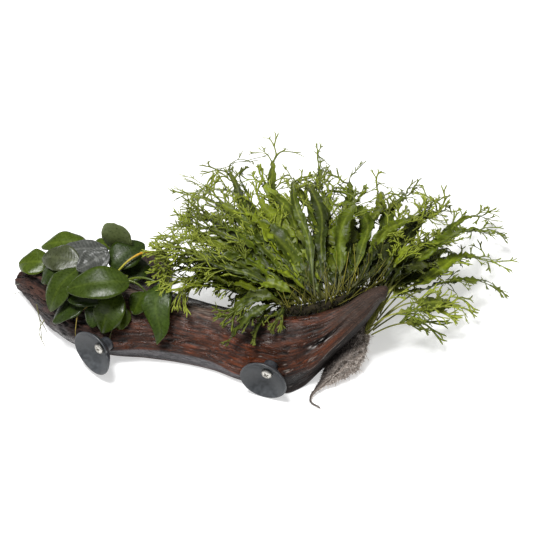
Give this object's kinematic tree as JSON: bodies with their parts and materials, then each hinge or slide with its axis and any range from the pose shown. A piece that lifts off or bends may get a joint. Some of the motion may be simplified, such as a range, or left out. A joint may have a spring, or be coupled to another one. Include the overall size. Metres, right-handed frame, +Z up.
{
  "type": "java fern on driftwood",
  "caption": "Aquarium driftwood log with a lace-leaved java fern fanning out behind it, a broad-leaved anubias at its root end, and suction cups on its front.",
  "frame": {"origin": "on the surface that the log lies on, under the middle of the whole object's bounding box", "axes": "+X along the log towards its raised horn, +Y away from the suction cups towards the fern's frond tips, +Z up"},
  "size_m": [0.4054, 0.3193, 0.0913],
  "materials": {
    "wet_bogwood": "wet, dark red-brown, with lengthwise grain and worn greyish ridges",
    "fibrous_bark": "damp, pitted and fibrous",
    "cup_rubber": "grey-black, matte with a soft sheen",
    "screw_steel": "plain stainless steel",
    "rhizome_skin": "damp green-brown skin with old stalk scars",
    "root_felt": "fuzzy grey-brown felt of fine roots",
    "anubias_leaf": "waxy dark green",
    "old_stalk": "faded to orange",
    "fern_leaf": "wet olive to yellow-green, with a lighter midrib"
  },
  "bodies": {
    "root": {"driftwood_trunk": "wet_bogwood", "driftwood_horn": "wet_bogwood", "driftwood_root_end": "fibrous_bark", "driftwood_back_branch": "fibrous_bark", "suction_cup_left": "cup_rubber", "suction_cup_right": "cup_rubber", "screw_left": "screw_steel", "screw_right": "screw_steel", "fern_rhizome": "rhizome_skin", "anubias_rhizome": "rhizome_skin", "fern_root_mat": "root_felt", "anubias_old_stalk": "old_stalk", "anubias_leaf_01": "anubias_leaf", "anubias_leaf_02": "anubias_leaf", "anubias_leaf_03": "anubias_leaf", "anubias_leaf_04": "anubias_leaf", "anubias_leaf_05": "anubias_leaf", "anubias_leaf_06": "anubias_leaf", "anubias_leaf_07": "anubias_leaf", "anubias_leaf_08": "anubias_leaf", "anubias_leaf_09": "anubias_leaf", "anubias_leaf_10": "anubias_leaf", "anubias_leaf_11": "anubias_leaf", "anubias_leaf_12": "anubias_leaf", "anubias_leaf_13": "anubias_leaf", "anubias_leaf_14": "anubias_leaf", "anubias_leaf_15": "anubias_leaf", "anubias_leaf_16": "anubias_leaf", "anubias_leaf_17": "anubias_leaf", "anubias_leaf_18": "anubias_leaf", "anubias_leaf_19": "anubias_leaf", "fern_frond_01": "fern_leaf", "fern_frond_02": "fern_leaf", "fern_frond_03": "fern_leaf", "fern_frond_04": "fern_leaf", "fern_frond_05": "fern_leaf", "fern_frond_06": "fern_leaf", "fern_frond_07": "fern_leaf", "fern_frond_08": "fern_leaf", "fern_frond_09": "fern_leaf", "fern_frond_10": "fern_leaf", "fern_frond_11": "fern_leaf", "fern_frond_12": "fern_leaf", "fern_frond_13": "fern_leaf", "fern_frond_14": "fern_leaf", "fern_frond_15": "fern_leaf", "fern_frond_16": "fern_leaf", "fern_frond_17": "fern_leaf", "fern_frond_18": "fern_leaf", "fern_frond_19": "fern_leaf", "fern_frond_20": "fern_leaf", "fern_frond_21": "fern_leaf", "fern_frond_22": "fern_leaf", "fern_frond_23": "fern_leaf", "fern_frond_24": "fern_leaf", "fern_frond_25": "fern_leaf", "fern_frond_26": "fern_leaf", "fern_frond_27": "fern_leaf", "fern_frond_28": "fern_leaf"}
  },
  "joints": []
}
